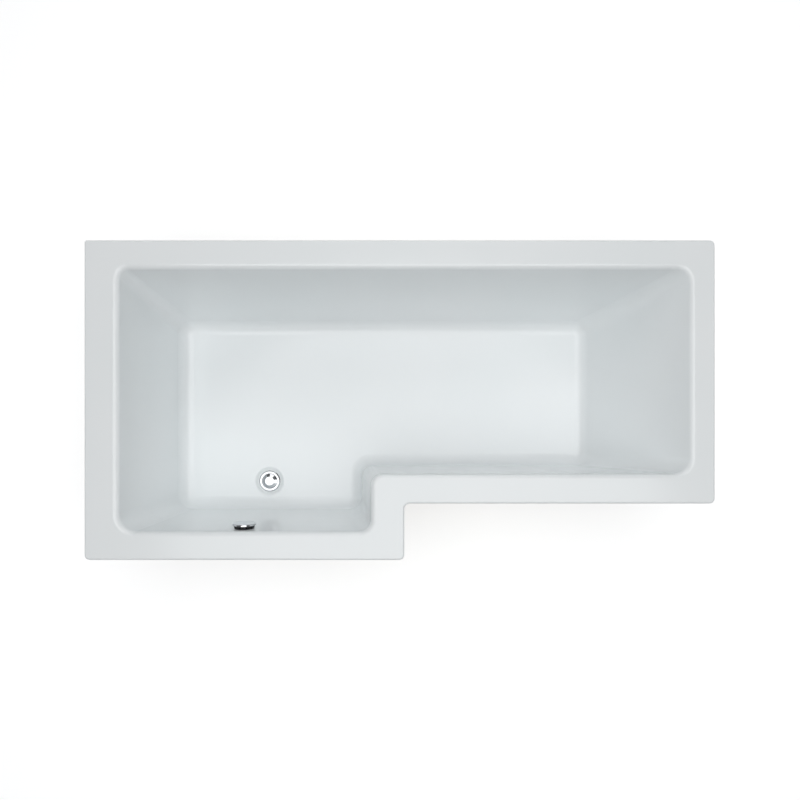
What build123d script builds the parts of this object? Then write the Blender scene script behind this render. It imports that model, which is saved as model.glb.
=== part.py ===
from build123d import *
import os
from math import asin, cos, degrees, pi, radians, sin, tan

os.makedirs("parts", exist_ok=True)

# Plan and height of the bath, in millimetres
bath_length = 1675
bath_width = 850
step_depth = 150
wide_end_length = 850
rim_height = 560
basin_depth = 400

# Rim around the basin
rim_left = 89.5
rim_right = 62.5
rim_back = 75
rim_front = 75
rim_waist = 79
rim_step = 88.5
lip_drop = 40
rim_roll = 6
opening_roll = 14

# Lean of each basin wall from upright, in degrees
lean_left = 6
lean_right = 24.3
lean_back = 8.9
lean_front = 6.2
lean_waist = 4
lean_step = 7

# Layers of the shell, and the sweep from wall to floor
acrylic = 5
laminate = 3
floor_fillet = 40

# Plan radii, from the back left corner round by the front: the fourth corner is the inner one
rim_corners = (7, 14, 14, 14, 14, 14)
opening_corners = (25, 45, 30, 32, 42, 35)
floor_corners = (45, 48, 45, 32, 45, 45)

# Timber under the shell
batten_width = 40
right_batten_width = 35
batten_thickness = 18
batten_inset = 17
batten_gap = 1
batten_chamfer = 2
board_thickness = 18
board_margin = 5
board_corner = 12
board_notch_width = 140
board_notch_reach = 72

# Steel bearers
bearer_width = 40
bearer_height = 25
bearer_wall = 2
bearer_bend = 3
bearer_left_inset = 257.5
bearer_middle_inset = 227.5
bearer_right_inset = 337.5
bearer_end_inset = 75
bearer_waist_inset = 67
screws_per_bearer = 4
screw_edge_distance = 35
screw_shank_radius = 2.2
screw_head_radius = 4.5
screw_head_height = 2.8
screw_length = 15
screw_hole_radius = 2.6
pilot_clearance = 0.05

# Adjustable feet
stud_radius = 6
stud_projection = 40
stud_end_distance = 20
stud_hole_radius = 6.5
thread_clearance = 0.06
nut_across_flats = 19
upper_nut_height = 6
lower_nut_height = 10
collar_across_flats = 17
collar_height = 6
stud_chamfer = 1
pad_radius = 25
pad_edge_height = 4
pad_hub_radius = 11
pad_height = 20
pad_socket_floor = 8
centre_foot_from_step = 127.5
centre_foot_from_waist = 355
centre_stud_reach = 1
centre_plate_size = 74
centre_plate_thickness = 3
centre_plate_screw_spacing = 52
centre_boss_radius = 10
centre_boss_length = 36
board_stud_hole_radius = 8

# Wall brackets, hooked inside the back lip
bracket_width = 70
bracket_thickness = 2.5
bracket_drop = 90
bracket_rise = 25
bracket_jog_height = 10
bracket_hole_radius = 2.75
bracket_hole_spacing = 40
bracket_hole_height = 20
bracket_inset = 387.5

# Waste fitting in the floor
waste_from_end = 413.5
waste_from_front = 204
recess_radius = 46
recess_depth = 6
recess_slope = 8
recess_round = 8
waste_hole_radius = 25
tube_clearance = 0.1
seal_inset = 2
flange_radius = 34
flange_edge_height = 1.3
flange_height = 3.3
flange_seal_thickness = 1.5
funnel_mouth_radius = 25.5
funnel_throat_radius = 21.5
funnel_depth = 4
flange_tube_radius = 23.5
flange_tube_length = 19.5
guide_height = 5
guide_web = 3
guide_hub_radius = 6
body_seal_thickness = 3
body_flange_radius = 42
body_flange_height = 4
body_radius = 30
body_cavity_radius = 26
body_depth = 42
body_floor_thickness = 4
tail_radius = 23.9
tail_bore_radius = 20
tail_length = 22
hose_port_drop = 27
hose_port_length = 54
cable_port_drop = 34
cable_port_turn = -50
cable_port_radius = 5.5
cable_port_reach = 46
cable_wire_radius = 1.5

# Plug and the lever that lifts it
plug_lift = 10
plug_radius = 23.4
plug_crown_radius = 14
plug_edge_height = 1
plug_crown_rise = 3.7
plug_seat_depth = 1.6
plug_neck_radius = 15
plug_boss_radius = 7
plug_boss_length = 7.2
plug_seal_thickness = 2.2
plug_seal_clearance = 0.35
stem_radius = 3.5
stem_floor_gap = 8
stem_clearance = 0.06
stem_socket_depth = 8
lever_arm = 21.3
lever_tip_radius = 3
lever_clearance = 0.3
lever_hub_radius = 4
lever_width = 10
lever_thickness = 4
lever_tail = 12
lever_pin_radius = 1.5
lug_gap = 0.5
lug_thickness = 4
lug_height = 14

# Overflow fitting on the front wall
overflow_depth = 52
overflow_hole_radius = 21.2
collar_tube_radius = 20.5
collar_bore_radius = 17.5
collar_drum_radius = 29
collar_drum_wall = 3
collar_drum_height = 9
collar_web = 2
collar_hub_radius = 7
collar_hub_length = 6
collar_rim_radius = 26
collar_rim_height = 1.2
collar_thread_length = 13
inlet_windows = 10
inlet_width = 9
inlet_height = 5
knob_radius = 31.5
knob_gap = 0.4
knob_thickness = 5.5
knob_edge_radius = 3.2
knob_dish_depth = 0.8
spindle_radius = 4
spindle_clearance = 0.06
spindle_socket_depth = 3
cam_radius = 12
cam_thickness = 4
cam_groove_depth = 1.5
overflow_seal_thickness = 3
overflow_flange_radius = 32
overflow_flange_thickness = 4
overflow_body_radius = 24
overflow_body_depth = 34
overflow_body_wall = 3
overflow_spigot_length = 46
overflow_port_reach = 38

# Ribbed hose and its nuts
hose_radius = 15
hose_valley_radius = 13.2
hose_bore_radius = 11.5
hose_bend_radius = 75
hose_cuff = 24
hose_ribs = 36
hose_nut_radius = 20
hose_nut_length = 24
hose_nut_clearance = 0.1
hose_nut_sides = 12

# Control cable
cable_radius = 3

# Shallow trap
trap_seal_thickness = 3
trap_collar_radius = 23.7
trap_collar_height = 4
trap_pipe_radius = 21
trap_pipe_bore_radius = 18.5
trap_bend_radius = 28
trap_leg_spacing = 57
trap_drop = 36
trap_outlet_rise = 57
trap_outlet_reach = 110
trap_socket_radius = 25
trap_socket_length = 33
trap_socket_depth = 28
outlet_pipe_radius = 20.2
outlet_seal_radius = 24.5
outlet_seal_thickness = 3
outlet_free_radius = 20.6
inlet_nut_radius = 30
inlet_nut_lip = 4
inlet_nut_height = 28
outlet_nut_radius = 30
outlet_nut_length = 24
outlet_nut_lip = 4
trap_thread_clearance = 0.15
nut_ribs = 16
nut_rib_radius = 2.2
cleaning_boss_radius = 13
cleaning_bore_radius = 10
cleaning_boss_reach = 32
cleaning_cap_radius = 16
cleaning_cap_length = 10
cleaning_cap_base = 3

# Edges of the rim's plan, with the origin below the middle of its box
left = -bath_length / 2
right = bath_length / 2
back = bath_width / 2
front = -bath_width / 2
waist = front + step_depth
step = left + wide_end_length
rim_sides = (left, right, back, front, step, waist)
waste_x = left + waste_from_end
waste_y = front + waste_from_front
bearer_left_x = left + bearer_left_inset
bearer_middle_x = step - bearer_middle_inset
bearer_right_x = right - bearer_right_inset
bearer_back_y = back - bearer_end_inset
bearer_front_y = front + bearer_end_inset
bearer_waist_y = waist + bearer_waist_inset
centre_foot_x = step + centre_foot_from_step
centre_foot_y = waist + centre_foot_from_waist

# Levels, from the rim down
deck_underside = rim_height - acrylic
underside_roll = opening_roll - acrylic
laminate_top = deck_underside - underside_roll
lip_end = rim_height - lip_drop
floor_level = rim_height - basin_depth
shell_bottom = floor_level - acrylic
laminate_bottom = shell_bottom - laminate
board_bottom = laminate_bottom - board_thickness
web_bottom = board_bottom - bearer_wall
recess_level = floor_level - recess_depth
recess_bottom = recess_level - acrylic
stud_top = board_bottom + upper_nut_height + stud_projection
centre_stud_top = board_bottom + centre_stud_reach


def grown(sides, amount):
    """The same six sides, moved outwards."""
    x_left, x_right, y_back, y_front, x_step, y_waist = sides
    return (
        x_left - amount,
        x_right + amount,
        y_back + amount,
        y_front - amount,
        x_step + amount,
        y_waist - amount,
    )


def grown_radii(radii, amount):
    """Corner radii of an outline moved outwards: the inner corner gets tighter."""
    inner_corner = 3
    return [
        radius - amount if corner == inner_corner else radius + amount
        for corner, radius in enumerate(radii)
    ]


def l_plan(height, sides, radii):
    """L-shaped face at a height, with a radius at each of its six corners."""
    x_left, x_right, y_back, y_front, x_step, y_waist = sides
    corners = [
        (x_left, y_back),
        (x_left, y_front),
        (x_step, y_front),
        (x_step, y_waist),
        (x_right, y_waist),
        (x_right, y_back),
    ]
    with BuildSketch(Plane.XY.offset(height)) as plan:
        with BuildLine():
            Polyline(*corners, close=True)
        make_face()
        for corner, radius in zip(corners, radii):
            fillet(plan.vertices().sort_by_distance((*corner, 0))[0], radius)
    return plan.sketch


def basin_sides(depth, grow):
    """Sides of the basin at a depth below the rim, moved outwards by a wall."""

    def run(lean):
        return depth * tan(radians(lean))

    inside = (
        left + rim_left + run(lean_left),
        right - rim_right - run(lean_right),
        back - rim_back - run(lean_back),
        front + rim_front + run(lean_front),
        step - rim_step - run(lean_step),
        waist + rim_waist + run(lean_waist),
    )
    return grown(inside, grow)


def basin_form(grow):
    """Solid that fills the basin up to the rim, moved outwards by a wall."""
    top = l_plan(rim_height, basin_sides(0, grow), grown_radii(opening_corners, grow))
    depth = basin_depth + grow
    foot = l_plan(rim_height - depth, basin_sides(depth, grow), grown_radii(floor_corners, grow))
    with BuildPart() as form:
        loft(sections=[foot, top], ruled=True)
        fillet(form.faces().sort_by(Axis.Z)[0].edges(), floor_fillet + grow)
    return form.part


def flat_floor_sides(margin):
    """Sides of the flat under the laminate, inside the sweep of each wall."""
    grow = acrylic + laminate
    x_left, x_right, y_back, y_front, x_step, y_waist = basin_sides(basin_depth + grow, grow)

    def sweep_run(lean):
        return (floor_fillet + grow) * tan(radians(90 - lean) / 2) + margin

    return (
        x_left + sweep_run(lean_left),
        x_right - sweep_run(lean_right),
        y_back - sweep_run(lean_back),
        y_front + sweep_run(lean_front),
        x_step - sweep_run(lean_step),
        y_waist + sweep_run(lean_waist),
    )


def ring(plane, outer_radius, inner_radius, thickness):
    """Flat ring that stands on a plane."""
    with BuildPart() as washer:
        with BuildSketch(plane):
            Circle(outer_radius)
            Circle(inner_radius, mode=Mode.SUBTRACT)
        extrude(amount=thickness)
    return washer.part


def upright_profile(x, y):
    """Plane through an upright axis: its X runs outwards and its Y runs up."""
    return Plane(origin=(x, y, 0), x_dir=(1, 0, 0), z_dir=(0, -1, 0))


# Places on the waste's axis
waste_profile = upright_profile(waste_x, waste_y)
waste_axis = Axis((waste_x, waste_y, 0), (0, 0, 1))
flange_base = recess_level + flange_seal_thickness
flange_top = flange_base + flange_height
body_top = recess_bottom - body_seal_thickness
flange_tube_end = flange_base - flange_tube_length
body_neck_radius = flange_tube_radius + tube_clearance
body_floor = body_top - body_depth
tail_shoulder = body_floor - body_floor_thickness
tail_end = tail_shoulder - tail_length
hose_port_height = body_top - hose_port_drop
cable_port_height = body_top - cable_port_drop
plug_underside = flange_top - plug_seat_depth
plug_boss_end = plug_underside - plug_boss_length
stem_end = body_floor + stem_floor_gap


def funnel_radius(height):
    """Inside radius of the waste flange at a height on its cone."""
    slope = (funnel_mouth_radius - funnel_throat_radius) / funnel_depth
    return funnel_mouth_radius - (flange_top - height) * slope


# Places on the overflow's axis, which stands square to the leaning front wall
front_lean = radians(lean_front)
overflow_y = front + rim_front + overflow_depth * tan(front_lean)
overflow_plane = Plane(
    origin=(waste_x, overflow_y, rim_height - overflow_depth),
    x_dir=(-1, 0, 0),
    z_dir=(0, cos(front_lean), sin(front_lean)),
)
overflow_profile = Plane(
    origin=overflow_plane.origin,
    x_dir=(1, 0, 0),
    z_dir=(0, -sin(front_lean), cos(front_lean)),
)
overflow_axis = Axis(overflow_plane.origin, overflow_plane.z_dir)
wall_behind = (acrylic + laminate) * cos(front_lean)
overflow_body_front = -wall_behind - overflow_seal_thickness
overflow_body_back = overflow_body_front - overflow_body_depth
overflow_bore_radius = collar_tube_radius + tube_clearance
spigot_station = overflow_body_back + hose_radius
spigot_top = overflow_plane.from_local_coords((0, 0, spigot_station))
cam_back = overflow_body_back + overflow_body_wall + knob_gap
cable_exit = overflow_plane.from_local_coords((0, 0, cam_back + cam_thickness / 2))
knob_back = collar_drum_height + knob_gap
knob_front = knob_back + knob_thickness

# Acrylic shell: flat rim with a turned-down lip, and the L-shaped basin
basin_inside = basin_form(0)
basin_outside = basin_form(acrylic)
with BuildPart() as bath_shell:
    extrude(l_plan(rim_height, rim_sides, rim_corners), amount=-lip_drop)
    fillet(bath_shell.faces().sort_by(Axis.Z)[-1].outer_wire().edges(), rim_roll)
    under_rim = l_plan(deck_underside, grown(rim_sides, -acrylic), [r - acrylic for r in rim_corners])
    extrude(under_rim, amount=-(lip_drop - acrylic), mode=Mode.SUBTRACT)
    add(basin_outside)
    underside = bath_shell.faces().filter_by_position(Axis.Z, deck_underside, deck_underside)[0]
    fillet(underside.inner_wires()[0].edges(), underside_roll)
    add(basin_inside, mode=Mode.SUBTRACT)
    fillet(bath_shell.faces().sort_by(Axis.Z)[-1].inner_wires()[0].edges(), opening_roll)
    with BuildSketch(Plane.XY.offset(recess_bottom)):
        with Locations((waste_x, waste_y)):
            Circle(recess_radius + acrylic)
    extrude(amount=shell_bottom - recess_bottom)
    with Locations((waste_x, waste_y, recess_level)):
        Cone(
            recess_radius - recess_slope,
            recess_radius,
            recess_depth,
            align=(Align.CENTER, Align.CENTER, Align.MIN),
            mode=Mode.SUBTRACT,
        )
    fillet(bath_shell.edges(Select.LAST).filter_by(GeomType.CIRCLE), recess_round)
    with BuildSketch(Plane.XY.offset(recess_bottom)):
        with Locations((waste_x, waste_y)):
            Circle(waste_hole_radius)
    extrude(amount=acrylic, mode=Mode.SUBTRACT)
    with BuildSketch(overflow_plane):
        Circle(overflow_hole_radius)
    extrude(amount=wall_behind, both=True, mode=Mode.SUBTRACT)
bath_shell.part.label = "bath_shell"
export_step(bath_shell.part, "parts/bath_shell.step")

# Glass-fibre laminate on the outside of the basin
with BuildPart() as fibreglass_backing:
    add(basin_form(acrylic + laminate))
    add(basin_outside, mode=Mode.SUBTRACT)
    split(bisect_by=Plane.XY.offset(laminate_top), keep=Keep.BOTTOM)
    with BuildSketch(Plane.XY.offset(laminate_bottom)):
        with Locations((waste_x, waste_y)):
            Circle(recess_radius + acrylic + pilot_clearance)
    extrude(amount=laminate, mode=Mode.SUBTRACT)
    with BuildSketch(overflow_plane):
        Circle(overflow_hole_radius)
    extrude(amount=2 * wall_behind, both=True, mode=Mode.SUBTRACT)
fibreglass_backing.part.label = "fibreglass_backing"
export_step(fibreglass_backing.part, "parts/fibreglass_backing.step")

# Timber battens under the rim, one for each straight of the L
batten_out = batten_inset
batten_in = batten_inset + batten_width
right_batten_in = batten_inset + right_batten_width
battens = {
    "rim_batten_left": (
        (left + batten_out, front + batten_out),
        (left + batten_in, back - batten_out),
    ),
    "rim_batten_back": (
        (left + batten_in + batten_gap, back - batten_in),
        (right - right_batten_in - batten_gap, back - batten_out),
    ),
    "rim_batten_right": (
        (right - right_batten_in, waist + batten_out),
        (right - batten_out, back - batten_out),
    ),
    "rim_batten_waist": (
        (step - batten_out + batten_gap, waist + batten_out),
        (right - right_batten_in - batten_gap, waist + batten_in),
    ),
    "rim_batten_step": (
        (step - batten_in, front + batten_out),
        (step - batten_out, waist + batten_in),
    ),
    "rim_batten_front": (
        (left + batten_in + batten_gap, front + batten_out),
        (step - batten_in - batten_gap, front + batten_in),
    ),
}
for name, (low, high) in battens.items():
    with BuildPart() as rim_batten:
        with BuildSketch(Plane.XY.offset(deck_underside)):
            with Locations(((low[0] + high[0]) / 2, (low[1] + high[1]) / 2)):
                Rectangle(high[0] - low[0], high[1] - low[1])
        extrude(amount=-batten_thickness)
        chamfer(rim_batten.faces().sort_by(Axis.Z)[0].edges(), batten_chamfer)
    rim_batten.part.label = name
    export_step(rim_batten.part, f"parts/{name}.step")

# Places of the bearers' screws: along each bearer, within the board
board_sides = flat_floor_sides(board_margin)
board_left, board_right, board_back, board_front, board_step, board_waist = board_sides
bearers = {
    "leg_bearer_left": (bearer_left_x, bearer_front_y, board_front),
    "leg_bearer_middle": (bearer_middle_x, bearer_front_y, board_front),
    "leg_bearer_right": (bearer_right_x, bearer_waist_y, board_waist),
}


def bearer_screws_along(x, board_edge):
    """Points of the screws of one bearer, evenly spaced over the board."""
    first = board_edge + screw_edge_distance
    last = board_back - screw_edge_distance
    pitch = (last - first) / (screws_per_bearer - 1)
    return [(x, first + pitch * count) for count in range(screws_per_bearer)]


bearer_screw_points = [
    point for x, _, board_edge in bearers.values() for point in bearer_screws_along(x, board_edge)
]
plate_half_spacing = centre_plate_screw_spacing / 2
plate_screw_points = [
    (centre_foot_x + side * plate_half_spacing, centre_foot_y + end * plate_half_spacing)
    for side in (-1, 1)
    for end in (-1, 1)
]

# Board under the floor, with a notch for the waste
with BuildPart() as baseboard:
    extrude(l_plan(laminate_bottom, board_sides, [board_corner] * 6), amount=-board_thickness)
    notch_length = waste_y + board_notch_reach - board_front
    with BuildSketch(Plane.XY.offset(laminate_bottom)) as notch:
        with Locations((waste_x, board_front)):
            Rectangle(board_notch_width, 2 * notch_length)
        fillet(notch.vertices().group_by(Axis.Y)[-1], board_corner)
    extrude(amount=-board_thickness, mode=Mode.SUBTRACT)
    with BuildSketch(Plane.XY.offset(board_bottom)):
        with Locations(*bearer_screw_points, *plate_screw_points):
            Circle(screw_shank_radius + pilot_clearance)
    extrude(amount=screw_length, mode=Mode.SUBTRACT)
    with BuildSketch(Plane.XY.offset(board_bottom)):
        with Locations((centre_foot_x, centre_foot_y)):
            Circle(board_stud_hole_radius)
    extrude(amount=board_thickness, mode=Mode.SUBTRACT)
baseboard.part.label = "baseboard"
export_step(baseboard.part, "parts/baseboard.step")

# Steel channels across the underside, open downwards
for name, (x, y_front_end, board_edge) in bearers.items():
    stud_points = [(x, y_front_end + stud_end_distance), (x, bearer_back_y - stud_end_distance)]
    with BuildPart() as leg_bearer:
        channel_end = Plane(origin=(x, y_front_end, board_bottom), x_dir=(-1, 0, 0), z_dir=(0, 1, 0))
        with BuildSketch(channel_end) as channel:
            Rectangle(bearer_width, bearer_height, align=(Align.CENTER, Align.MAX))
            fillet(channel.vertices().group_by(Axis.Y)[-1], bearer_bend)
            with Locations((0, -bearer_wall)):
                Rectangle(
                    bearer_width - 2 * bearer_wall,
                    bearer_height,
                    align=(Align.CENTER, Align.MAX),
                    mode=Mode.SUBTRACT,
                )
        extrude(amount=bearer_back_y - y_front_end)
        with BuildSketch(Plane.XY.offset(board_bottom)):
            with Locations(*stud_points):
                Circle(stud_hole_radius)
            with Locations(*bearer_screws_along(x, board_edge)):
                Circle(screw_hole_radius)
        extrude(amount=-bearer_wall, mode=Mode.SUBTRACT)
    leg_bearer.part.label = name
    export_step(leg_bearer.part, f"parts/{name}.step")

# Plate of the middle foot, with its long threaded boss
plate_bottom = board_bottom - centre_plate_thickness
boss_end = plate_bottom - centre_boss_length
with BuildPart() as centre_leg_plate:
    with BuildSketch(Plane.XY.offset(board_bottom)) as plate:
        with Locations((centre_foot_x, centre_foot_y)):
            Rectangle(centre_plate_size, centre_plate_size)
        fillet(plate.vertices(), bearer_bend)
        with Locations(*plate_screw_points):
            Circle(screw_hole_radius, mode=Mode.SUBTRACT)
    extrude(amount=-centre_plate_thickness)
    with BuildSketch(Plane.XY.offset(plate_bottom)):
        with Locations((centre_foot_x, centre_foot_y)):
            Circle(centre_boss_radius)
    extrude(amount=-centre_boss_length)
    with BuildSketch(Plane.XY.offset(board_bottom)):
        with Locations((centre_foot_x, centre_foot_y)):
            Circle(stud_radius + thread_clearance)
    extrude(amount=-centre_plate_thickness - centre_boss_length, mode=Mode.SUBTRACT)
centre_leg_plate.part.label = "centre_leg_plate"
export_step(centre_leg_plate.part, "parts/centre_leg_plate.step")

# Screws of the bearers and of the middle plate
with BuildPart() as bearer_screws:
    for points, seat in ((bearer_screw_points, web_bottom), (plate_screw_points, plate_bottom)):
        with BuildSketch(Plane.XY.offset(seat)):
            with Locations(*points):
                Circle(screw_head_radius)
        extrude(amount=-screw_head_height)
        with BuildSketch(Plane.XY.offset(seat)):
            with Locations(*points):
                Circle(screw_shank_radius)
        extrude(amount=screw_length)
bearer_screws.part.label = "bearer_screws"
export_step(bearer_screws.part, "parts/bearer_screws.step")

# Places of the seven feet
bearer_stud_front = bearer_front_y + stud_end_distance
bearer_stud_back = bearer_back_y - stud_end_distance
bearer_feet = {
    "left_front": (bearer_left_x, bearer_stud_front),
    "left_back": (bearer_left_x, bearer_stud_back),
    "middle_front": (bearer_middle_x, bearer_stud_front),
    "middle_back": (bearer_middle_x, bearer_stud_back),
    "right_front": (bearer_right_x, bearer_waist_y + stud_end_distance),
    "right_back": (bearer_right_x, bearer_stud_back),
}
foot_places = {**bearer_feet, "centre": (centre_foot_x, centre_foot_y)}

# Lock nuts above and below the bearers, and below the middle boss
with BuildPart() as upper_lock_nuts:
    with BuildSketch(Plane.XY.offset(board_bottom)):
        with Locations(*bearer_feet.values()):
            RegularPolygon(nut_across_flats / 2, 6, major_radius=False)
            Circle(stud_radius + thread_clearance, mode=Mode.SUBTRACT)
    extrude(amount=upper_nut_height)
upper_lock_nuts.part.label = "upper_lock_nuts"
export_step(upper_lock_nuts.part, "parts/upper_lock_nuts.step")

with BuildPart() as lower_lock_nuts:
    for points, seat in ((bearer_feet.values(), web_bottom), ([foot_places["centre"]], boss_end)):
        with BuildSketch(Plane.XY.offset(seat)):
            with Locations(*points):
                RegularPolygon(nut_across_flats / 2, 6, major_radius=False)
                Circle(stud_radius + thread_clearance, mode=Mode.SUBTRACT)
        extrude(amount=-lower_nut_height)
lower_lock_nuts.part.label = "lower_lock_nuts"
export_step(lower_lock_nuts.part, "parts/lower_lock_nuts.step")

# Threaded studs and their pads
for place, (x, y) in foot_places.items():
    top = centre_stud_top if place == "centre" else stud_top
    with BuildPart() as foot_stud:
        with BuildSketch(Plane.XY.offset(pad_socket_floor)):
            with Locations((x, y)):
                Circle(stud_radius)
        extrude(amount=top - pad_socket_floor)
        chamfer(foot_stud.faces().sort_by(Axis.Z)[-1].edges(), stud_chamfer)
        with BuildSketch(Plane.XY.offset(pad_height)):
            with Locations((x, y)):
                RegularPolygon(collar_across_flats / 2, 6, major_radius=False)
        extrude(amount=collar_height)
    foot_stud.part.label = f"foot_stud_{place}"
    export_step(foot_stud.part, f"parts/foot_stud_{place}.step")

    with BuildPart() as foot_pad:
        with BuildSketch(upright_profile(x, y)):
            with BuildLine():
                Polyline(
                    (0, 0),
                    (pad_radius, 0),
                    (pad_radius, pad_edge_height),
                    (pad_hub_radius, (pad_edge_height + pad_height) / 2),
                    (pad_hub_radius, pad_height),
                    (stud_radius, pad_height),
                    (stud_radius, pad_socket_floor),
                    (0, pad_socket_floor),
                    close=True,
                )
            make_face()
        revolve(axis=Axis((x, y, 0), (0, 0, 1)))
    foot_pad.part.label = f"foot_pad_{place}"
    export_step(foot_pad.part, f"parts/foot_pad_{place}.step")

# Wall brackets: a plate against the wall that jogs in behind the lip
hook_face = back - acrylic
jog_top = lip_end - bracket_thickness
jog_bottom = jog_top - bracket_jog_height
plate_end = rim_height - bracket_drop
for name, bracket_x in (("left", left + bracket_inset), ("right", right - bracket_inset)):
    with BuildPart() as wall_bracket:
        with BuildSketch(Plane.YZ.offset(bracket_x - bracket_width / 2)):
            with BuildLine():
                Polyline(
                    (back, plate_end),
                    (back, jog_bottom),
                    (hook_face, jog_top),
                    (hook_face, lip_end + bracket_rise),
                    (hook_face - bracket_thickness, lip_end + bracket_rise),
                    (hook_face - bracket_thickness, jog_top - bracket_thickness / 2),
                    (back - bracket_thickness, jog_bottom - bracket_thickness / 2),
                    (back - bracket_thickness, plate_end),
                    close=True,
                )
            make_face()
        extrude(amount=bracket_width)
        with BuildSketch(Plane.XZ.offset(-back)):
            with Locations((bracket_x, plate_end + bracket_hole_height)):
                with GridLocations(bracket_hole_spacing, 1, 2, 1):
                    Circle(bracket_hole_radius)
        extrude(amount=bracket_thickness, mode=Mode.SUBTRACT)
    wall_bracket.part.label = f"wall_bracket_{name}"
    export_step(wall_bracket.part, f"parts/wall_bracket_{name}.step")

# Waste flange: rounded lip, funnel, tube and the cross that guides the stem
with BuildPart() as waste_flange:
    with BuildSketch(waste_profile) as flange_section:
        with BuildLine():
            Polyline(
                (flange_tube_radius, flange_tube_end),
                (flange_tube_radius, flange_base),
                (flange_radius, flange_base),
                (flange_radius, flange_base + flange_edge_height),
                (flange_radius - flange_height, flange_top),
                (funnel_mouth_radius, flange_top),
                (funnel_throat_radius, flange_top - funnel_depth),
                (funnel_throat_radius, flange_tube_end),
                close=True,
            )
        make_face()
    revolve(axis=waste_axis)
    with BuildSketch(Plane.XY.offset(flange_tube_end)):
        with Locations((waste_x, waste_y)):
            Rectangle(2 * funnel_throat_radius + guide_web / 2, guide_web)
            Rectangle(guide_web, 2 * funnel_throat_radius + guide_web / 2)
            Circle(guide_hub_radius)
            Circle(stem_radius + stem_clearance, mode=Mode.SUBTRACT)
    extrude(amount=guide_height)
waste_flange.part.label = "waste_flange"
export_step(waste_flange.part, "parts/waste_flange.step")

waste_flange_seal = ring(
    Plane(origin=(waste_x, waste_y, recess_level)),
    flange_radius - seal_inset,
    waste_hole_radius,
    flange_seal_thickness,
)
waste_flange_seal.label = "waste_flange_seal"
export_step(waste_flange_seal, "parts/waste_flange_seal.step")

waste_body_seal = ring(
    Plane(origin=(waste_x, waste_y, body_top)),
    body_flange_radius - seal_inset,
    waste_hole_radius,
    body_seal_thickness,
)
waste_body_seal.label = "waste_body_seal"
export_step(waste_body_seal, "parts/waste_body_seal.step")

# Swing of the lifting lever, and the pivot that puts its tip under the stem at both ends
half_swing = asin(plug_lift / 2 / lever_arm)
tip_height = stem_end - lever_clearance - lever_tip_radius
pivot_y = waste_y + lever_arm * cos(half_swing)
pivot_z = tip_height + plug_lift / 2
lug_outside = lever_width / 2 + lug_gap + lug_thickness
body_flange_bottom = body_top - body_flange_height

# Waste body: cup with the hose port and the cable port, lugs for the lever, threaded tail
hose_port_plane = Plane(origin=(waste_x, waste_y, hose_port_height), x_dir=(1, 0, 0), z_dir=(0, -1, 0))
cable_port_way = (cos(radians(cable_port_turn)), sin(radians(cable_port_turn)), 0)
cable_port_plane = Plane(origin=(waste_x, waste_y, cable_port_height), z_dir=cable_port_way)
with BuildPart() as waste_body:
    with BuildSketch(waste_profile):
        with BuildLine():
            Polyline(
                (0, tail_end),
                (tail_radius, tail_end),
                (tail_radius, tail_shoulder),
                (body_radius, body_floor - body_floor_thickness / 2),
                (body_radius, body_flange_bottom),
                (body_flange_radius, body_flange_bottom),
                (body_flange_radius, body_top),
                (0, body_top),
                close=True,
            )
        make_face()
    revolve(axis=waste_axis)
    with BuildSketch(hose_port_plane):
        Circle(hose_radius)
    extrude(amount=hose_port_length)
    with BuildSketch(cable_port_plane):
        Circle(cable_port_radius)
    extrude(amount=cable_port_reach)
    with BuildSketch(Plane.XY.offset(body_floor)):
        with Locations((waste_x, waste_y)):
            Circle(body_cavity_radius)
    extrude(amount=flange_tube_end - body_floor, mode=Mode.SUBTRACT)
    with BuildSketch(Plane.XY.offset(flange_tube_end)):
        with Locations((waste_x, waste_y)):
            Circle(body_neck_radius)
    extrude(amount=body_top - flange_tube_end, mode=Mode.SUBTRACT)
    with BuildSketch(Plane.XY.offset(tail_end)):
        with Locations((waste_x, waste_y)):
            Circle(tail_bore_radius)
    extrude(amount=body_floor - tail_end, mode=Mode.SUBTRACT)
    with BuildSketch(hose_port_plane):
        Circle(hose_bore_radius)
    extrude(amount=hose_port_length, mode=Mode.SUBTRACT)
    with BuildSketch(cable_port_plane):
        Circle(cable_wire_radius)
    extrude(amount=cable_port_reach, mode=Mode.SUBTRACT)
    lug_back = waste_y + (body_cavity_radius + body_radius) / 2
    lug_front = pivot_y - lever_hub_radius
    with BuildSketch(Plane.XY.offset(body_floor)):
        for side in (-1, 1):
            lug_middle = waste_x + side * (lug_outside - lug_thickness / 2)
            with Locations((lug_middle, (lug_front + lug_back) / 2)):
                Rectangle(lug_thickness, lug_back - lug_front)
    extrude(amount=lug_height)
    with BuildSketch(Plane(origin=(waste_x, pivot_y, pivot_z), z_dir=(1, 0, 0))):
        Circle(lever_pin_radius)
    extrude(amount=lug_outside, both=True, mode=Mode.SUBTRACT)
waste_body.part.label = "waste_body"
export_step(waste_body.part, "parts/waste_body.step")

# Plug: flat crown, sloping shoulder and a boss that takes the stem
plug_shoulder = plug_underside + plug_edge_height
plug_top = plug_shoulder + plug_crown_rise
seal_bottom = plug_underside - plug_seal_thickness
stem_top = plug_boss_end + stem_socket_depth
with BuildPart() as pop_up_plug:
    with BuildSketch(waste_profile):
        with BuildLine():
            Polyline(
                (stem_radius, plug_boss_end),
                (plug_boss_radius, plug_boss_end),
                (plug_boss_radius, seal_bottom),
                (plug_neck_radius, seal_bottom),
                (plug_neck_radius, plug_underside),
                (plug_radius, plug_underside),
                (plug_radius, plug_shoulder),
                (plug_crown_radius, plug_top),
                (0, plug_top),
                (0, stem_top),
                (stem_radius, stem_top),
                close=True,
            )
        make_face()
    revolve(axis=waste_axis)
pop_up_plug.part.label = "pop_up_plug"
export_step(pop_up_plug.part, "parts/pop_up_plug.step")

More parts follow.
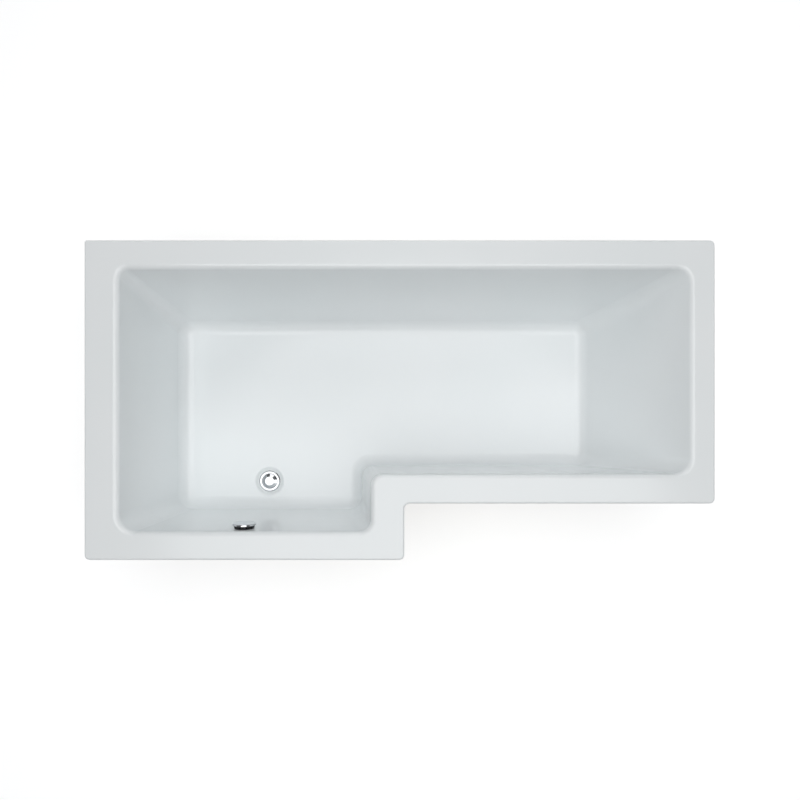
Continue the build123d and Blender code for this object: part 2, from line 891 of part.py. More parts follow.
# Conical sealing ring, parallel to the funnel
with BuildPart() as plug_seal:
    with BuildSketch(waste_profile):
        with BuildLine():
            Polyline(
                (plug_neck_radius, seal_bottom),
                (funnel_radius(seal_bottom) - plug_seal_clearance, seal_bottom),
                (plug_radius - plug_seal_clearance, plug_underside - plug_seal_clearance),
                (plug_radius - plug_seal_clearance, plug_underside),
                (plug_neck_radius, plug_underside),
                close=True,
            )
        make_face()
    revolve(axis=waste_axis)
plug_seal.part.label = "plug_seal"
export_step(plug_seal.part, "parts/plug_seal.step")

with BuildPart() as plug_stem:
    with BuildSketch(Plane.XY.offset(stem_end)):
        with Locations((waste_x, waste_y)):
            Circle(stem_radius)
    extrude(amount=stem_top - stem_end)
    chamfer(plug_stem.faces().sort_by(Axis.Z)[-1].edges(), stud_chamfer / 2)
plug_stem.part.label = "plug_stem"
export_step(plug_stem.part, "parts/plug_stem.step")

# Lever under the stem, drawn at rest with its tip down
lever_way = (0, -cos(half_swing), -sin(half_swing))
lever_side = Plane(origin=(waste_x, pivot_y, pivot_z), x_dir=lever_way, z_dir=(1, 0, 0))
with BuildPart() as lift_lever:
    with BuildSketch(lever_side):
        Circle(lever_hub_radius)
        Rectangle(lever_arm + lever_tail, lever_thickness, align=(Align.MIN, Align.CENTER))
        with Locations((lever_arm, 0)):
            Circle(lever_tip_radius)
        with Locations((lever_arm + lever_tail, 0)):
            Circle(lever_thickness / 2)
        Circle(lever_pin_radius + stem_clearance, mode=Mode.SUBTRACT)
    extrude(amount=lever_width / 2, both=True)
lift_lever.part.label = "lift_lever"
export_step(lift_lever.part, "parts/lift_lever.step")

with BuildPart() as lever_pin:
    with BuildSketch(Plane(origin=(waste_x, pivot_y, pivot_z), z_dir=(1, 0, 0))):
        Circle(lever_pin_radius)
    extrude(amount=lug_outside, both=True)
lever_pin.part.label = "lever_pin"
export_step(lever_pin.part, "parts/lever_pin.step")

# Overflow collar: tube through the wall, and a flared drum with inlet windows round its side
with BuildPart() as overflow_collar:
    with BuildSketch(overflow_profile):
        with BuildLine():
            Polyline(
                (collar_bore_radius, overflow_body_front - collar_thread_length),
                (collar_tube_radius, overflow_body_front - collar_thread_length),
                (collar_tube_radius, 0),
                (collar_rim_radius, 0),
                (collar_rim_radius, collar_rim_height),
                (collar_drum_radius, collar_drum_height),
                (spindle_radius + spindle_clearance, collar_drum_height),
                (spindle_radius + spindle_clearance, collar_drum_height - collar_hub_length),
                (collar_hub_radius, collar_drum_height - collar_hub_length),
                (collar_hub_radius, collar_drum_height - collar_web),
                (collar_drum_radius - collar_drum_wall, collar_drum_height - collar_web),
                (collar_rim_radius - collar_drum_wall, collar_rim_height),
                (collar_bore_radius, collar_rim_height),
                close=True,
            )
        make_face()
    revolve(axis=overflow_axis)
    with BuildSketch(overflow_plane.offset(collar_rim_height + knob_gap)):
        with PolarLocations((collar_rim_radius + collar_drum_radius - collar_drum_wall) / 2, inlet_windows):
            Rectangle(3 * collar_drum_wall, inlet_width)
    extrude(amount=inlet_height, mode=Mode.SUBTRACT)
overflow_collar.part.label = "overflow_collar"
export_step(overflow_collar.part, "parts/overflow_collar.step")

# Control knob: round disc with a rounded edge and a shallow dish
with BuildPart() as overflow_knob:
    with BuildSketch(overflow_profile):
        with BuildLine():
            Polyline(
                (spindle_radius, knob_back),
                (knob_radius, knob_back),
                (knob_radius, knob_front - knob_edge_radius),
            )
            RadiusArc(
                (knob_radius, knob_front - knob_edge_radius),
                (knob_radius - knob_edge_radius, knob_front),
                -knob_edge_radius,
            )
            TangentArc(
                (0, knob_front - knob_dish_depth),
                (knob_radius - knob_edge_radius, knob_front),
                tangent=(1, 0),
            )
            Polyline(
                (0, knob_front - knob_dish_depth),
                (0, knob_back + spindle_socket_depth),
                (spindle_radius, knob_back + spindle_socket_depth),
                (spindle_radius, knob_back),
            )
        make_face()
    revolve(axis=overflow_axis)
overflow_knob.part.label = "overflow_knob"
export_step(overflow_knob.part, "parts/overflow_knob.step")

with BuildPart() as knob_spindle:
    with BuildSketch(overflow_plane.offset(cam_back)):
        Circle(spindle_radius)
    extrude(amount=knob_back + spindle_socket_depth - cam_back)
knob_spindle.part.label = "knob_spindle"
export_step(knob_spindle.part, "parts/knob_spindle.step")

# Grooved cam on the spindle's end
with BuildPart() as cable_cam:
    with BuildSketch(overflow_profile):
        with BuildLine():
            Polyline(
                (spindle_radius, cam_back),
                (cam_radius, cam_back),
                (cam_radius - cam_groove_depth, cam_back + cam_thickness / 2),
                (cam_radius, cam_back + cam_thickness),
                (spindle_radius, cam_back + cam_thickness),
                close=True,
            )
        make_face()
    revolve(axis=overflow_axis)
cable_cam.part.label = "cable_cam"
export_step(cable_cam.part, "parts/cable_cam.step")

overflow_seal = ring(
    overflow_plane.offset(overflow_body_front),
    overflow_flange_radius - seal_inset,
    overflow_hole_radius,
    overflow_seal_thickness,
)
overflow_seal.label = "overflow_seal"
export_step(overflow_seal, "parts/overflow_seal.step")

# Overflow body behind the wall: flanged cup, spigot straight down, cable port to the side
spigot_plane = Plane(origin=spigot_top, x_dir=(1, 0, 0), z_dir=(0, 0, -1))
overflow_cable_plane = Plane(origin=cable_exit, z_dir=(1, 0, 0))
with BuildPart() as overflow_body:
    with BuildSketch(overflow_plane.offset(overflow_body_front)):
        Circle(overflow_flange_radius)
    extrude(amount=-overflow_flange_thickness)
    with BuildSketch(overflow_plane.offset(overflow_body_front)):
        Circle(overflow_body_radius)
    extrude(amount=-overflow_body_depth)
    with BuildSketch(spigot_plane):
        Circle(hose_radius)
    extrude(amount=overflow_spigot_length)
    with BuildSketch(overflow_cable_plane):
        Circle(cable_port_radius)
    extrude(amount=overflow_port_reach)
    with BuildSketch(overflow_plane.offset(overflow_body_front)):
        Circle(overflow_bore_radius)
    extrude(amount=-(overflow_body_depth - overflow_body_wall), mode=Mode.SUBTRACT)
    with BuildSketch(spigot_plane):
        Circle(hose_bore_radius)
    extrude(amount=overflow_spigot_length, mode=Mode.SUBTRACT)
    with BuildSketch(overflow_cable_plane):
        Circle(cable_wire_radius)
    extrude(amount=overflow_port_reach, mode=Mode.SUBTRACT)
overflow_body.part.label = "overflow_body"
export_step(overflow_body.part, "parts/overflow_body.step")

# Route of the hose: straight down from the spigot, one large bend, straight into the port
hose_start = Vector(waste_x, spigot_top.Y, spigot_top.Z - overflow_spigot_length)
hose_end = Vector(waste_x, waste_y - hose_port_length, hose_port_height)
drop_length = hose_start.Z - hose_end.Z - hose_bend_radius
bend_length = hose_bend_radius * pi / 2
run_length = hose_end.Y - hose_start.Y - hose_bend_radius
hose_length = drop_length + bend_length + run_length


def hose_station(distance):
    """Plane square to the hose at a distance along it, on a steady X axis."""
    if distance <= drop_length:
        point = hose_start - Vector(0, 0, distance)
        way = Vector(0, 0, -1)
    elif distance < drop_length + bend_length:
        turn = (distance - drop_length) / hose_bend_radius
        centre = Vector(waste_x, hose_start.Y + hose_bend_radius, hose_start.Z - drop_length)
        point = centre - Vector(0, cos(turn), sin(turn)) * hose_bend_radius
        way = Vector(0, sin(turn), -cos(turn))
    else:
        point = hose_end - Vector(0, hose_length - distance, 0)
        way = Vector(0, 1, 0)
    return Plane(origin=point, x_dir=(1, 0, 0), z_dir=way)


def hose_circle(distance, radius):
    """Round section of the hose at a distance along it."""
    with BuildSketch(hose_station(distance)) as section:
        Circle(radius)
    return section.sketch


rib_pitch = (hose_length - 2 * hose_cuff) / hose_ribs
rib_profile = (
    (0.1, hose_valley_radius),
    (0.3, hose_radius),
    (0.7, hose_radius),
    (0.9, hose_valley_radius),
)
rib_sections = [
    hose_circle(hose_cuff + (rib + share) * rib_pitch, radius)
    for rib in range(hose_ribs)
    for share, radius in rib_profile
]
cuff_sections = [hose_circle(0, hose_radius), hose_circle(hose_cuff, hose_radius)]
end_sections = [hose_circle(hose_length - hose_cuff, hose_radius), hose_circle(hose_length, hose_radius)]
with BuildPart() as overflow_hose:
    loft(sections=cuff_sections + rib_sections + end_sections, ruled=True)
    with BuildLine() as hose_route:
        FilletPolyline(
            hose_start,
            (waste_x, hose_start.Y, hose_end.Z),
            hose_end,
            radius=hose_bend_radius,
        )
    with BuildSketch(hose_station(0)):
        Circle(hose_bore_radius)
    sweep(path=hose_route.line, mode=Mode.SUBTRACT)
overflow_hose.part.label = "overflow_hose"
export_step(overflow_hose.part, "parts/overflow_hose.step")
print(f"hose length {hose_length:.1f} mm, bend radius {hose_bend_radius} mm, {hose_ribs} ribs")

# Nuts that hold the hose's cuffs on the spigot and on the port
for name, distance in (("hose_nut_upper", 0), ("hose_nut_lower", hose_length)):
    with BuildPart() as hose_nut:
        with BuildSketch(hose_station(distance)):
            RegularPolygon(hose_nut_radius, hose_nut_sides)
            Circle(hose_radius + hose_nut_clearance, mode=Mode.SUBTRACT)
        extrude(amount=hose_nut_length / 2, both=True)
    hose_nut.part.label = name
    export_step(hose_nut.part, f"parts/{name}.step")

# Sleeved cable from the overflow body's port to the waste body's port
cable_start = cable_exit + Vector(overflow_port_reach, 0, 0)
cable_end = Vector(waste_x, waste_y, cable_port_height) + Vector(*cable_port_way) * cable_port_reach
cable_route = [
    cable_start,
    cable_start + Vector(78, 0, 0),
    cable_start + Vector(92, -2, -95),
    cable_start + Vector(74, 4, -190),
    cable_start + Vector(82, 0, -280),
    cable_end + Vector(*cable_port_way) * 95 + Vector(14, -4, 48),
    cable_end + Vector(*cable_port_way) * 80,
    cable_end,
]


def route_radii(points):
    """Radius at each corner of a route, as large as its two runs allow."""
    radii = []
    for before, corner, after in zip(points, points[1:], points[2:]):
        shorter_run = min((corner - before).length, (after - corner).length)
        turn = radians((corner - before).get_angle(after - corner))
        radii.append(0.45 * shorter_run / tan(turn / 2))
    return radii


cable_bends = route_radii(cable_route)
with BuildPart() as control_cable:
    with BuildLine() as cable_line:
        FilletPolyline(*cable_route, radius=cable_bends)
    cable_path = cable_line.wires()[0]
    with BuildSketch(Plane(origin=cable_path @ 0, z_dir=cable_path % 0)):
        Circle(cable_radius)
    sweep(path=cable_path)
control_cable.part.label = "control_cable"
export_step(control_cable.part, "parts/control_cable.step")
cable_length = cable_path.length
cable_volume = pi * cable_radius**2 * cable_length
print("cable bends", [round(radius) for radius in cable_bends])
print(f"cable length {cable_length:.1f}, volume {control_cable.part.volume / cable_volume:.4f} of tube")

# Shallow trap: seal and collar under the tail, U-bend, outlet to the back
trap_top = tail_end - trap_seal_thickness
bend_bottom = trap_top - trap_drop
outlet_height = bend_bottom + trap_outlet_rise
outlet_plane = Plane(
    origin=(waste_x, waste_y + trap_outlet_reach, outlet_height), x_dir=(1, 0, 0), z_dir=(0, 1, 0)
)
trap_inlet_seal = ring(
    Plane(origin=(waste_x, waste_y, trap_top)), trap_collar_radius, tail_bore_radius, trap_seal_thickness
)
trap_inlet_seal.label = "trap_inlet_seal"
export_step(trap_inlet_seal, "parts/trap_inlet_seal.step")

trap_route = (
    (waste_x, waste_y, trap_top),
    (waste_x, waste_y, bend_bottom),
    (waste_x, waste_y + trap_leg_spacing, bend_bottom),
    (waste_x, waste_y + trap_leg_spacing, outlet_height),
    (waste_x, waste_y + trap_outlet_reach, outlet_height),
)
eye_centre = (waste_x, waste_y + trap_leg_spacing / 2, bend_bottom)
eye_plane = Plane(origin=eye_centre, z_dir=(-1, 0, 0))
with BuildPart() as trap_body:
    with BuildLine() as trap_line:
        FilletPolyline(*trap_route, radius=trap_bend_radius)
    with BuildSketch(Plane.XY.offset(trap_top)):
        with Locations((waste_x, waste_y)):
            Circle(trap_pipe_radius)
    sweep(path=trap_line.line)
    with BuildSketch(Plane.XY.offset(trap_top)):
        with Locations((waste_x, waste_y)):
            Circle(trap_collar_radius)
    extrude(amount=-trap_collar_height)
    with BuildSketch(outlet_plane.offset(trap_socket_depth - trap_socket_length)):
        Circle(trap_socket_radius)
    extrude(amount=trap_socket_length)
    with BuildSketch(eye_plane):
        Circle(cleaning_boss_radius)
    extrude(amount=cleaning_boss_reach)
    with BuildSketch(Plane.XY.offset(trap_top)):
        with Locations((waste_x, waste_y)):
            Circle(trap_pipe_bore_radius)
    sweep(path=trap_line.line, mode=Mode.SUBTRACT)
    with BuildSketch(outlet_plane):
        Circle(outlet_pipe_radius)
    extrude(amount=trap_socket_depth, mode=Mode.SUBTRACT)
    with BuildSketch(eye_plane):
        Circle(cleaning_bore_radius)
    extrude(amount=cleaning_boss_reach, mode=Mode.SUBTRACT)
trap_body.part.label = "trap_body"
export_step(trap_body.part, "parts/trap_body.step")

with BuildPart() as trap_cleaning_cap:
    with BuildSketch(eye_plane.offset(cleaning_boss_reach)) as cap_plan:
        Circle(cleaning_cap_radius)
    extrude(amount=cleaning_cap_base)
    with BuildSketch(eye_plane.offset(cleaning_boss_reach)):
        Circle(cleaning_cap_radius)
        Circle(cleaning_boss_radius + trap_thread_clearance, mode=Mode.SUBTRACT)
    extrude(amount=-(cleaning_cap_length - cleaning_cap_base))
trap_cleaning_cap.part.label = "trap_cleaning_cap"
export_step(trap_cleaning_cap.part, "parts/trap_cleaning_cap.step")


def ribbed_nut(plane, radius, thread_radius, lip_radius, length, lip):
    """Hand nut that stands on a plane, lip first, with grip ribs round it."""
    with BuildPart() as nut:
        with BuildSketch(plane):
            Circle(radius)
            with PolarLocations(radius, nut_ribs):
                Circle(nut_rib_radius)
        extrude(amount=length)
        with BuildSketch(plane):
            Circle(lip_radius)
        extrude(amount=lip, mode=Mode.SUBTRACT)
        with BuildSketch(plane.offset(lip)):
            Circle(thread_radius)
        extrude(amount=length - lip, mode=Mode.SUBTRACT)
    return nut.part


trap_inlet_nut = ribbed_nut(
    Plane(origin=(waste_x, waste_y, trap_top - trap_collar_height - inlet_nut_lip)),
    inlet_nut_radius - nut_rib_radius,
    tail_radius + trap_thread_clearance,
    trap_pipe_radius + trap_thread_clearance,
    inlet_nut_height,
    inlet_nut_lip,
)
trap_inlet_nut.label = "trap_inlet_nut"
export_step(trap_inlet_nut, "parts/trap_inlet_nut.step")

outlet_seal_plane = outlet_plane.offset(trap_socket_depth)
trap_outlet_seal = ring(outlet_seal_plane, outlet_seal_radius, outlet_free_radius, outlet_seal_thickness)
trap_outlet_seal.label = "trap_outlet_seal"
export_step(trap_outlet_seal, "parts/trap_outlet_seal.step")

outlet_nut_plane = Plane(
    origin=outlet_seal_plane.offset(outlet_seal_thickness + outlet_nut_lip).origin,
    x_dir=(1, 0, 0),
    z_dir=(0, -1, 0),
)
trap_outlet_nut = ribbed_nut(
    outlet_nut_plane,
    outlet_nut_radius - nut_rib_radius,
    trap_socket_radius + trap_thread_clearance,
    outlet_free_radius,
    outlet_nut_length,
    outlet_nut_lip,
)
trap_outlet_nut.label = "trap_outlet_nut"
export_step(trap_outlet_nut, "parts/trap_outlet_nut.step")

print(f"lever swing {degrees(2 * half_swing):.3f} degrees about y {pivot_y:.3f}, z {pivot_z:.3f}")
print(f"overflow axis through {overflow_plane.origin}")
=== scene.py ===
from math import cos, pi, sin

import bpy
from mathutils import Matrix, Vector


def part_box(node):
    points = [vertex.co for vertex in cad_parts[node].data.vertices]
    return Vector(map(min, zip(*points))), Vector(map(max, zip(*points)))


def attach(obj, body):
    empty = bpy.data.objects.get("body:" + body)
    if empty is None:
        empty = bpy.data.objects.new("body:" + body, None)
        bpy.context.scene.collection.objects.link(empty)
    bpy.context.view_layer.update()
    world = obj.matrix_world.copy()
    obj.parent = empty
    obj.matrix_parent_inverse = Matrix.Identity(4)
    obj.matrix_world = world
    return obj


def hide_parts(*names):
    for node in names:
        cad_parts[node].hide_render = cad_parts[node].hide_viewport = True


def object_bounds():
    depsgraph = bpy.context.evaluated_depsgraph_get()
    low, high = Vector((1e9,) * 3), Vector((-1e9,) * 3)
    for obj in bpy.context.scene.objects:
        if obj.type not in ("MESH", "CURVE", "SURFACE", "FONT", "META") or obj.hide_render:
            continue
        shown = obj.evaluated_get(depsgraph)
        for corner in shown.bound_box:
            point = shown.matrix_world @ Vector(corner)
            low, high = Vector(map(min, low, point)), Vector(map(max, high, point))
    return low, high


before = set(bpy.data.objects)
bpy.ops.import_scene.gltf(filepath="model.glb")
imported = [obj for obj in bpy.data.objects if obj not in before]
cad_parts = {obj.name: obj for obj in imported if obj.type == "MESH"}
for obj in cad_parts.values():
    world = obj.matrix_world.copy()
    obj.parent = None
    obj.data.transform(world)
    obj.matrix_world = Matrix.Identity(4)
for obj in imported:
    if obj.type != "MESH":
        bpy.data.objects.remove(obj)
cad_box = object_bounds()

# Camera: straight above, with the plan's centre in the middle of the picture
photo_side_px = 800
nadir_px = (400.3, 471)
plan_centre_px = (399.65, 400)
focal_px = 660
camera_height = 2.31
sensor_mm = 36

# Light
key_power = 67.5
key_place = (0.1, -0.5, 3.6)
key_size = 3.6
fill_power = 21
fill_place = (0.1, 2.8, 3.0)
fill_size = 2.4
fill_target = (0, 0, 0.4)
sky_strength = 0.168
sky_tint = (0.97, 0.985, 1.0, 1.0)

# Backdrop: how far up a mirrored direction points where white ends and where grey starts
horizon_white_to = 0.15
horizon_grey_from = 0.45
floor_side = 14
floor_glow = 0.55

# Thread of the studs, and one band of Blender's wave texture at scale 1
thread_pitch = 0.00175
thread_height = 0.0009
stud_thread_start = 0.0265
wave_period = pi / 10

# Ribbed hose between the overflow and the waste
hose_bend_radius = 0.075
hose_cuff = 0.024
hose_ribs = 36
hose_bore_radius = 0.0115
hose_rib_depth = 0.0018
hose_rib_roundness = 0.6
hose_rib_steps = 8
hose_sides = 64

# Sleeved cable: its route from the overflow's port to the waste body's
cable_radius = 0.003
cable_route = (
    (-0.3860, -0.3837, 0.5037),
    (-0.3080, -0.3837, 0.5037),
    (-0.2940, -0.3857, 0.4087),
    (-0.3120, -0.3797, 0.3137),
    (-0.3040, -0.3837, 0.2237),
    (-0.3194, -0.3330, 0.1600),
    (-0.3430, -0.3175, 0.1120),
    (-0.3944, -0.2562, 0.1120),
)


def linear(level):
    """One channel of a screen colour as light."""
    return level / 12.92 if level <= 0.04045 else ((level + 0.055) / 1.055) ** 2.4


def colour(red, green, blue):
    """Screen colour, 0 to 255, as a socket value."""
    return (*(linear(level / 255) for level in (red, green, blue)), 1.0)


class Nodes:
    """Short ways to build a node tree."""

    def __init__(self, tree):
        self.tree = tree

    def node(self, kind, links=None, values=None, **settings):
        """A new node with its settings, the values of its sockets and the links into them."""
        made = self.tree.nodes.new(kind)
        for key, value in settings.items():
            setattr(made, key, value)
        for socket, value in (values or {}).items():
            made.inputs[socket].default_value = value
        for socket, source in (links or {}).items():
            self.tree.links.new(source, made.inputs[socket])
        return made

    def maths(self, operation, first, second):
        """An operation on two inputs; the second may be a plain number."""
        if isinstance(second, (int, float)):
            made = self.node("ShaderNodeMath", {0: first}, {1: second}, operation=operation)
        else:
            made = self.node("ShaderNodeMath", {0: first, 1: second}, operation=operation)
        return made.outputs["Value"]

    def span(self, factor, low, high, start=0.0, end=1.0):
        """A factor that goes from start to end as a number that goes from low to high."""
        values = {"From Min": start, "From Max": end, "To Min": low, "To Max": high}
        return self.node("ShaderNodeMapRange", {"Value": factor}, values).outputs["Result"]


class Finish(Nodes):
    """A Principled material, and short ways to feed its sockets from textures."""

    def __init__(self, name, base, roughness, metallic=0.0):
        self.material = bpy.data.materials.new(name)
        self.material.use_nodes = True
        super().__init__(self.material.node_tree)
        self.shader = self.tree.nodes["Principled BSDF"]
        self.shader.inputs["Base Color"].default_value = base
        self.shader.inputs["Roughness"].default_value = roughness
        self.shader.inputs["Metallic"].default_value = metallic
        self.place = self.node("ShaderNodeTexCoord").outputs["Object"]

    def stretched(self, scale):
        """The object's coordinates, stretched along each axis."""
        return self.node("ShaderNodeMapping", {"Vector": self.place}, {"Scale": scale}).outputs["Vector"]

    def noise(self, scale, detail=3.0, place=None, distortion=0.0):
        """Soft clouds."""
        values = {"Scale": scale, "Detail": detail, "Distortion": distortion}
        return self.node("ShaderNodeTexNoise", {"Vector": place or self.place}, values).outputs["Fac"]

    def cells(self, scale, place):
        """Flat chips, each with a tone of its own."""
        return self.node("ShaderNodeTexVoronoi", {"Vector": place}, {"Scale": scale}).outputs["Color"]

    def ridges(self, period):
        """Sharp rings up the Z axis."""
        made = self.node(
            "ShaderNodeTexWave",
            {"Vector": self.place},
            {"Scale": wave_period / period},
            wave_type="BANDS",
            bands_direction="Z",
            wave_profile="TRI",
        )
        return made.outputs["Fac"]

    def ramp(self, factor, stops):
        """A factor as a colour, from stops of position and colour."""
        made = self.node("ShaderNodeValToRGB", {"Fac": factor})
        elements = made.color_ramp.elements
        while len(elements) < len(stops):
            elements.new(0.5)
        for element, (position, value) in zip(elements, stops):
            element.position = position
            element.color = value
        return made.outputs["Color"]

    def feed(self, socket, source):
        """Links a source to a socket of the shader."""
        self.tree.links.new(source, self.shader.inputs[socket])

    def bump(self, height, distance, strength=1.0, under=None):
        """Fine relief, on top of the relief under it."""
        links = {"Height": height}
        if under:
            links["Normal"] = under
        made = self.node("ShaderNodeBump", links, {"Strength": strength, "Distance": distance})
        self.feed("Normal", made.outputs["Normal"])
        return made.outputs["Normal"]


def white_acrylic():
    """Glossy sanitary acrylic: almost even white, with a faint orange peel."""
    finish = Finish("white_acrylic", colour(247, 250, 251), 0.16)
    finish.feed(
        "Base Color",
        finish.ramp(
            finish.noise(2.2, 2.0),
            ((0.35, colour(245, 249, 250)), (0.65, colour(248, 251, 252))),
        ),
    )
    finish.feed("Roughness", finish.span(finish.noise(9.0), 0.13, 0.19))
    finish.bump(finish.noise(160.0, 2.0), 0.00004, 0.35)
    return finish.material


def glass_fibre_laminate():
    """Sprayed chopped strands in milky resin."""
    finish = Finish("glass_fibre_laminate", colour(214, 210, 190), 0.45)
    strands = finish.noise(38.0, 4.0, finish.stretched((1.0, 0.16, 1.0)), 1.6)
    crossing = finish.noise(42.0, 4.0, finish.stretched((0.16, 1.0, 0.5)), 1.6)
    mat = finish.maths("MAXIMUM", strands, crossing)
    finish.feed(
        "Base Color",
        finish.ramp(
            mat,
            (
                (0.42, colour(176, 171, 146)),
                (0.58, colour(213, 209, 188)),
                (0.74, colour(234, 232, 218)),
            ),
        ),
    )
    finish.feed("Roughness", finish.span(mat, 0.55, 0.32))
    lumps = finish.bump(finish.noise(14.0), 0.0016, 0.6)
    finish.bump(mat, 0.0007, 0.7, under=lumps)
    return finish.material


def chipboard():
    """Pressed chips, light and dark, with open pores."""
    finish = Finish("chipboard", colour(190, 158, 112), 0.8)
    chips = finish.cells(210.0, finish.stretched((1.0, 1.7, 1.0)))
    finish.feed(
        "Base Color",
        finish.ramp(
            chips,
            (
                (0.15, colour(150, 115, 72)),
                (0.5, colour(192, 158, 110)),
                (0.85, colour(216, 188, 144)),
            ),
        ),
    )
    finish.bump(chips, 0.0003, 0.6)
    return finish.material


def softwood(name, stretch):
    """Sawn pine, its grain along the batten."""
    finish = Finish(name, colour(206, 168, 116), 0.7)
    grain = finish.noise(30.0, 5.0, finish.stretched(stretch), 0.6)
    finish.feed(
        "Base Color",
        finish.ramp(
            grain,
            (
                (0.30, colour(172, 126, 76)),
                (0.50, colour(208, 170, 118)),
                (0.68, colour(226, 196, 150)),
            ),
        ),
    )
    finish.bump(grain, 0.0004, 0.6)
    return finish.material


def zinc_steel(name, threaded=False):
    """Bright zinc with soft clouds; a stud adds its thread above the collar."""
    finish = Finish(name, colour(196, 200, 204), 0.34, metallic=1.0)
    clouds = finish.noise(26.0, 4.0)
    finish.feed(
        "Base Color",
        finish.ramp(
            clouds,
            (
                (0.3, colour(176, 181, 188)),
                (0.55, colour(198, 201, 204)),
                (0.75, colour(208, 206, 196)),
            ),
        ),
    )
    finish.feed("Roughness", finish.span(clouds, 0.24, 0.46))
    fine = finish.bump(finish.noise(420.0, 2.0), 0.00005, 0.4)
    if threaded:
        height = finish.node("ShaderNodeSeparateXYZ", {"Vector": finish.place}).outputs["Z"]
        above = finish.maths("GREATER_THAN", height, stud_thread_start)
        thread = finish.maths("MULTIPLY", finish.ridges(thread_pitch), above)
        finish.bump(thread, thread_height, under=fine)
    return finish.material


def black_plastic():
    """Moulded nylon with a fine spark grain for the pads and the cable; on the overflow collar its black
    is painted shade and dark reflection.
    """
    finish = Finish("black_plastic", colour(38, 38, 40), 0.5)
    grain = finish.noise(700.0, 2.0)
    finish.feed("Base Color", finish.ramp(grain, ((0.3, colour(31, 31, 33)), (0.7, colour(46, 46, 48)))))
    finish.feed("Roughness", finish.span(finish.noise(40.0), 0.42, 0.6))
    finish.bump(grain, 0.0001, 0.5)
    return finish.material


def chrome():
    """Polished chrome plate with a trace of wiping marks."""
    finish = Finish("chrome", colour(206, 208, 211), 0.06, metallic=1.0)
    marks = finish.noise(60.0, place=finish.stretched((1.0, 0.3, 1.0)))
    finish.feed("Roughness", finish.span(marks, 0.04, 0.11))
    finish.bump(finish.noise(90.0, 2.0), 0.00001, 0.3)
    return finish.material


def rubber():
    """Soft black rubber."""
    finish = Finish("black_rubber", colour(30, 30, 30), 0.75)
    bloom = finish.noise(120.0)
    finish.feed("Base Color", finish.ramp(bloom, ((0.35, colour(24, 24, 24)), (0.7, colour(44, 43, 42)))))
    finish.bump(bloom, 0.00008, 0.5)
    return finish.material


def moulded_plastic(name, tone, rough):
    """Satin moulded plastic, slightly uneven in tone."""
    finish = Finish(name, colour(*tone), rough)
    darker = [level - 8 for level in tone]
    finish.feed(
        "Base Color",
        finish.ramp(finish.noise(18.0), ((0.3, colour(*darker)), (0.7, colour(*tone)))),
    )
    finish.feed("Roughness", finish.span(finish.noise(50.0), rough - 0.07, rough + 0.07))
    finish.bump(finish.noise(500.0, 2.0), 0.00005, 0.4)
    return finish.material


def dress(material, *names):
    """Gives CAD nodes a material."""
    for name in names:
        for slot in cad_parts[name].material_slots:
            slot.material = material


def dress_nodes(black):
    """Gives every CAD node its material."""
    studs = [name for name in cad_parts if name.startswith("foot_stud_")]
    pads = [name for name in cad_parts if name.startswith("foot_pad_")]
    seals = [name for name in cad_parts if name.endswith("_seal")]
    dress(white_acrylic(), "bath_shell")
    dress(glass_fibre_laminate(), "fibreglass_backing")
    dress(chipboard(), "baseboard")
    dress(
        softwood("softwood_along_x", (0.08, 1.0, 1.0)),
        "rim_batten_back",
        "rim_batten_waist",
        "rim_batten_front",
    )
    dress(
        softwood("softwood_along_y", (1.0, 0.08, 1.0)),
        "rim_batten_left",
        "rim_batten_right",
        "rim_batten_step",
    )
    dress(
        zinc_steel("zinc_plated_steel"),
        "leg_bearer_left",
        "leg_bearer_middle",
        "leg_bearer_right",
        "centre_leg_plate",
        "bearer_screws",
        "upper_lock_nuts",
        "lower_lock_nuts",
        "wall_bracket_left",
        "wall_bracket_right",
        "lever_pin",
        "plug_stem",
        "knob_spindle",
    )
    dress(zinc_steel("zinc_thread", threaded=True), *studs)
    # The overflow collar shares this black: there it is painted shade and dark reflection, the dark band
    # behind the knob.
    dress(black, *pads, "overflow_collar")
    dress(chrome(), "waste_flange", "pop_up_plug", "overflow_knob")
    dress(rubber(), *seals)
    dress(
        moulded_plastic("white_plastic", (232, 232, 228), 0.38),
        "waste_body",
        "overflow_body",
        "trap_body",
        "trap_inlet_nut",
        "trap_outlet_nut",
        "trap_cleaning_cap",
        "hose_nut_upper",
        "hose_nut_lower",
    )
    dress(moulded_plastic("acetal", (238, 236, 228), 0.3), "lift_lever", "cable_cam")


def hose_rings(length, radius):
    """Distance and radius of each ring of the hose: along its outside, then back through its bore."""
    steps = hose_ribs * hose_rib_steps
    pitch = (length - 2 * hose_cuff) / steps
    edge = radius - hose_rib_depth / 2
    outside = [(0, radius), (hose_cuff - 2 * pitch, radius), (hose_cuff - pitch, edge)]
    for step in range(steps + 1):
        wave = 0.5 - 0.5 * cos(2 * pi * step / hose_rib_steps)
        groove = hose_rib_depth * (1 - wave**hose_rib_roundness)
        outside.append((hose_cuff + step * pitch, radius - groove))
    outside.append((length - hose_cuff + pitch, edge))
    outside.append((length - hose_cuff + 2 * pitch, radius))
    outside.append((length, radius))
    bore = [(distance, hose_bore_radius) for distance, _ in reversed(outside)]
    return outside + bore


def hose_ring(start, drop, distance, radius):
    """Points of one round section, square to the hose at a distance along it."""
    turn = min(max((distance - drop) / hose_bend_radius, 0), pi / 2)
    elbow = start + Vector((0, hose_bend_radius, -drop))
    outwards = Vector((0, cos(turn), sin(turn)))
    onwards = Vector((0, sin(turn), -cos(turn)))
    centre = elbow - hose_bend_radius * outwards
    centre += onwards * (distance - drop - turn * hose_bend_radius)
    for side in range(hose_sides):
        angle = 2 * pi * side / hose_sides
        yield centre + radius * (Vector((cos(angle), 0, 0)) + outwards * sin(angle))


